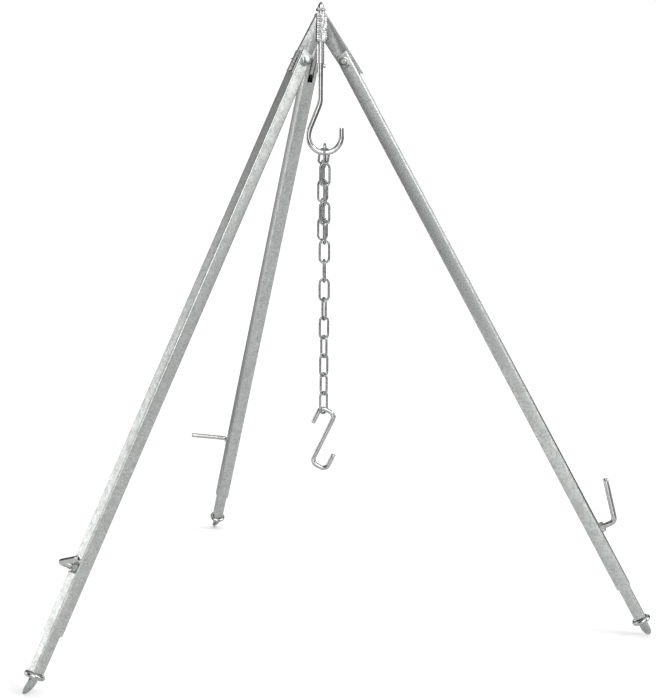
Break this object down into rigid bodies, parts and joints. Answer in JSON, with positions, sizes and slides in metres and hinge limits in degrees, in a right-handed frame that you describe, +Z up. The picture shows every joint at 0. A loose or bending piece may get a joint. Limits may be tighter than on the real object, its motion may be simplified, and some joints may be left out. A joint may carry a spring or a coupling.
{
  "type": "campfire and hoisting tripod",
  "caption": "Zinc-plated steel tripod with telescopic square-tube legs, spiked feet, clamp screws, swivel hook, link chain and S-hook.",
  "frame": {"origin": "ground point plumb under the swivel axis, in the plane of the three spike tips", "axes": "+Z up along the swivel axis; +X lies in the plane of the hook, towards its mouth; -Y is towards the opening between legs 1 and 2"},
  "size_m": [1.0918, 1.0357, 1.1641],
  "materials": {
    "zinc_tube": "satin zinc plate, mottled",
    "zinc_chain": "bright zinc plate",
    "zinc_rod": "bright zinc plate",
    "zinc_plate": "dull zinc plate over welds",
    "zinc_hardware": "bright zinc plate"
  },
  "bodies": {
    "head": {"centre_sleeve": "zinc_rod", "arm_plate_1": "zinc_plate", "arm_plate_2": "zinc_plate", "arm_plate_3": "zinc_plate", "weld_seam_1": "zinc_plate", "weld_seam_2": "zinc_plate", "weld_seam_3": "zinc_plate"},
    "hook": {"swivel_hook": "zinc_rod", "finial": "zinc_rod", "hook_stop": "zinc_plate"},
    "link_01": {"chain_link_01": "zinc_chain"},
    "link_02": {"chain_link_02": "zinc_chain"},
    "link_03": {"chain_link_03": "zinc_chain"},
    "link_04": {"chain_link_04": "zinc_chain"},
    "link_05": {"chain_link_05": "zinc_chain"},
    "link_06": {"chain_link_06": "zinc_chain"},
    "link_07": {"chain_link_07": "zinc_chain"},
    "link_08": {"chain_link_08": "zinc_chain"},
    "link_09": {"chain_link_09": "zinc_chain"},
    "link_10": {"chain_link_10": "zinc_chain"},
    "link_11": {"chain_link_11": "zinc_chain"},
    "link_12": {"chain_link_12": "zinc_chain"},
    "link_13": {"chain_link_13": "zinc_chain"},
    "link_14": {"chain_link_14": "zinc_chain"},
    "s_hook": {"s_hook": "zinc_rod"},
    "spare_1": {"spare_link_1": "zinc_chain"},
    "spare_2": {"spare_link_2": "zinc_chain"},
    "spare_3": {"spare_link_3": "zinc_chain"},
    "spare_4": {"spare_link_4": "zinc_chain"},
    "spare_5": {"spare_link_5": "zinc_chain"},
    "leg_1": {"outer_tube_1": "zinc_tube", "pivot_bolt_1": "zinc_hardware", "pivot_nut_1": "zinc_hardware", "clamp_nut_1": "zinc_hardware"},
    "foot_1": {"inner_tube_1": "zinc_tube", "foot_ring_1": "zinc_hardware", "foot_spike_1": "zinc_hardware"},
    "clamp_1": {"clamp_screw_1": "zinc_rod"},
    "leg_2": {"outer_tube_2": "zinc_tube", "pivot_bolt_2": "zinc_hardware", "pivot_nut_2": "zinc_hardware", "clamp_nut_2": "zinc_hardware"},
    "foot_2": {"inner_tube_2": "zinc_tube", "foot_ring_2": "zinc_hardware", "foot_spike_2": "zinc_hardware"},
    "clamp_2": {"clamp_screw_2": "zinc_rod"},
    "leg_3": {"outer_tube_3": "zinc_tube", "pivot_bolt_3": "zinc_hardware", "pivot_nut_3": "zinc_hardware", "clamp_nut_3": "zinc_hardware"},
    "foot_3": {"inner_tube_3": "zinc_tube", "foot_ring_3": "zinc_hardware", "foot_spike_3": "zinc_hardware"},
    "clamp_3": {"clamp_screw_3": "zinc_rod"}
  },
  "joints": [
    {"name": "hook_swivel", "type": "hinge", "parent": "head", "child": "hook", "pos_m": [0, 0, 1.04984], "axis": [0, 0, 1], "continuous": true},
    {"name": "link_01_swing", "type": "hinge", "parent": "hook", "child": "link_01", "pos_m": [0.009, 0, 0.88634], "axis": [1, 0, 0], "range_deg": [-25, 25]},
    {"name": "link_02_swing", "type": "hinge", "parent": "link_01", "child": "link_02", "pos_m": [0.009, 0.0012, 0.86094], "axis": [-0.1045, -0.9945, 0], "range_deg": [-25, 25]},
    {"name": "link_03_swing", "type": "hinge", "parent": "link_02", "child": "link_03", "pos_m": [0.009, 0.0012, 0.82454], "axis": [-0.9976, -0.0698, 0], "range_deg": [-5, 25]},
    {"name": "link_04_swing", "type": "hinge", "parent": "link_03", "child": "link_04", "pos_m": [0.009, 0.0012, 0.78814], "axis": [-0.1045, 0.9945, 0], "range_deg": [-25, 25]},
    {"name": "link_05_swing", "type": "hinge", "parent": "link_04", "child": "link_05", "pos_m": [0.009, 0.0012, 0.75174], "axis": [-0.9903, -0.1392, 0], "range_deg": [-12, 25]},
    {"name": "link_06_swing", "type": "hinge", "parent": "link_05", "child": "link_06", "pos_m": [0.009, 0.0012, 0.71534], "axis": [-0.1392, 0.9903, 0], "range_deg": [-25, 25]},
    {"name": "link_07_swing", "type": "hinge", "parent": "link_06", "child": "link_07", "pos_m": [0.009, 0.0012, 0.67894], "axis": [0.9994, 0.0349, 0], "range_deg": [-25, 25]},
    {"name": "link_08_swing", "type": "hinge", "parent": "link_07", "child": "link_08", "pos_m": [0.009, 0.0012, 0.64254], "axis": [0.1219, -0.9925, 0], "range_deg": [-25, 25]},
    {"name": "link_09_swing", "type": "hinge", "parent": "link_08", "child": "link_09", "pos_m": [0.009, 0.0012, 0.60614], "axis": [0.9703, 0.2419, 0], "range_deg": [-25, 25]},
    {"name": "link_10_swing", "type": "hinge", "parent": "link_09", "child": "link_10", "pos_m": [0.009, 0.0012, 0.56974], "axis": [-0.342, 0.9397, 0], "range_deg": [-25, 25]},
    {"name": "link_11_swing", "type": "hinge", "parent": "link_10", "child": "link_11", "pos_m": [0.009, 0.0012, 0.53334], "axis": [-0.891, -0.454, 0], "range_deg": [-25, 25]},
    {"name": "link_12_swing", "type": "hinge", "parent": "link_11", "child": "link_12", "pos_m": [0.009, 0.0012, 0.49694], "axis": [0.5446, -0.8387, 0], "range_deg": [-25, 25]},
    {"name": "link_13_swing", "type": "hinge", "parent": "link_12", "child": "link_13", "pos_m": [0.009, 0.0012, 0.46054], "axis": [-0.766, -0.6428, 0], "range_deg": [-25, 25]},
    {"name": "link_14_swing", "type": "hinge", "parent": "link_13", "child": "link_14", "pos_m": [0.009, 0.0012, 0.42414], "axis": [-0.6293, 0.7771, 0], "range_deg": [-25, 25]},
    {"name": "s_hook_swing", "type": "hinge", "parent": "link_14", "child": "s_hook", "pos_m": [0.009, 0.0012, 0.38444], "axis": [0.2079, 0.9781, 0], "range_deg": [-20, 20]},
    {"name": "spare_1_lift", "type": "hinge", "parent": "link_01", "child": "spare_1", "pos_m": [0.009, 0.0049, 0.89404], "axis": [-0.9962, -0.0677, 0.0548], "range_deg": [-30, 0]},
    {"name": "spare_2_swing", "type": "hinge", "parent": "spare_1", "child": "spare_2", "pos_m": [0.00536, 0.03726, 0.86784], "axis": [-0.9962, -0.0677, 0.0548], "range_deg": [-25, 3]},
    {"name": "spare_3_swing", "type": "hinge", "parent": "spare_2", "child": "spare_3", "pos_m": [0.00536, 0.03726, 0.83144], "axis": [0.225, 0.9744, 0], "range_deg": [-25, 5]},
    {"name": "spare_4_swing", "type": "hinge", "parent": "spare_3", "child": "spare_4", "pos_m": [0.00536, 0.03726, 0.79504], "axis": [-0.9703, 0.2419, 0], "range_deg": [-25, 4]},
    {"name": "spare_5_swing", "type": "hinge", "parent": "spare_4", "child": "spare_5", "pos_m": [0.00536, 0.03726, 0.75863], "axis": [0.2419, 0.9703, 0], "range_deg": [-25, 5]},
    {"name": "leg_1_fold", "type": "hinge", "parent": "head", "child": "leg_1", "pos_m": [-0.03659, -0.03341, 1.05068], "axis": [0.6743, -0.7385, 0], "range_deg": [0, 22]},
    {"name": "leg_1_extend", "type": "slide", "parent": "leg_1", "child": "foot_1", "axis": [-0.3587, -0.3275, -0.8741], "range_m": [-0.055, 0.8]},
    {"name": "clamp_1_turn", "type": "hinge", "parent": "leg_1", "child": "clamp_1", "pos_m": [-0.40388, -0.36879, 0.19677], "axis": [-0.6455, -0.5894, 0.4857], "continuous": true},
    {"name": "leg_2_fold", "type": "hinge", "parent": "head", "child": "leg_2", "pos_m": [0.04803, -0.01215, 1.05068], "axis": [0.2453, 0.9694, 0], "range_deg": [0, 22]},
    {"name": "leg_2_extend", "type": "slide", "parent": "leg_2", "child": "foot_2", "axis": [0.4709, -0.1192, -0.8741], "range_m": [-0.055, 0.8]},
    {"name": "clamp_2_turn", "type": "hinge", "parent": "leg_2", "child": "clamp_2", "pos_m": [0.52739, -0.13345, 0.20202], "axis": [0.8474, -0.2144, 0.4857], "continuous": true},
    {"name": "leg_3_fold", "type": "hinge", "parent": "head", "child": "leg_3", "pos_m": [-0.01999, 0.04533, 1.05068], "axis": [-0.915, -0.4035, 0], "range_deg": [0, 22]},
    {"name": "leg_3_extend", "type": "slide", "parent": "leg_3", "child": "foot_3", "axis": [-0.196, 0.4444, -0.8741], "range_m": [-0.055, 0.8]},
    {"name": "clamp_3_turn", "type": "hinge", "parent": "leg_3", "child": "clamp_3", "pos_m": [-0.21365, 0.48441, 0.22824], "axis": [-0.3527, 0.7998, 0.4857], "continuous": true}
  ]
}
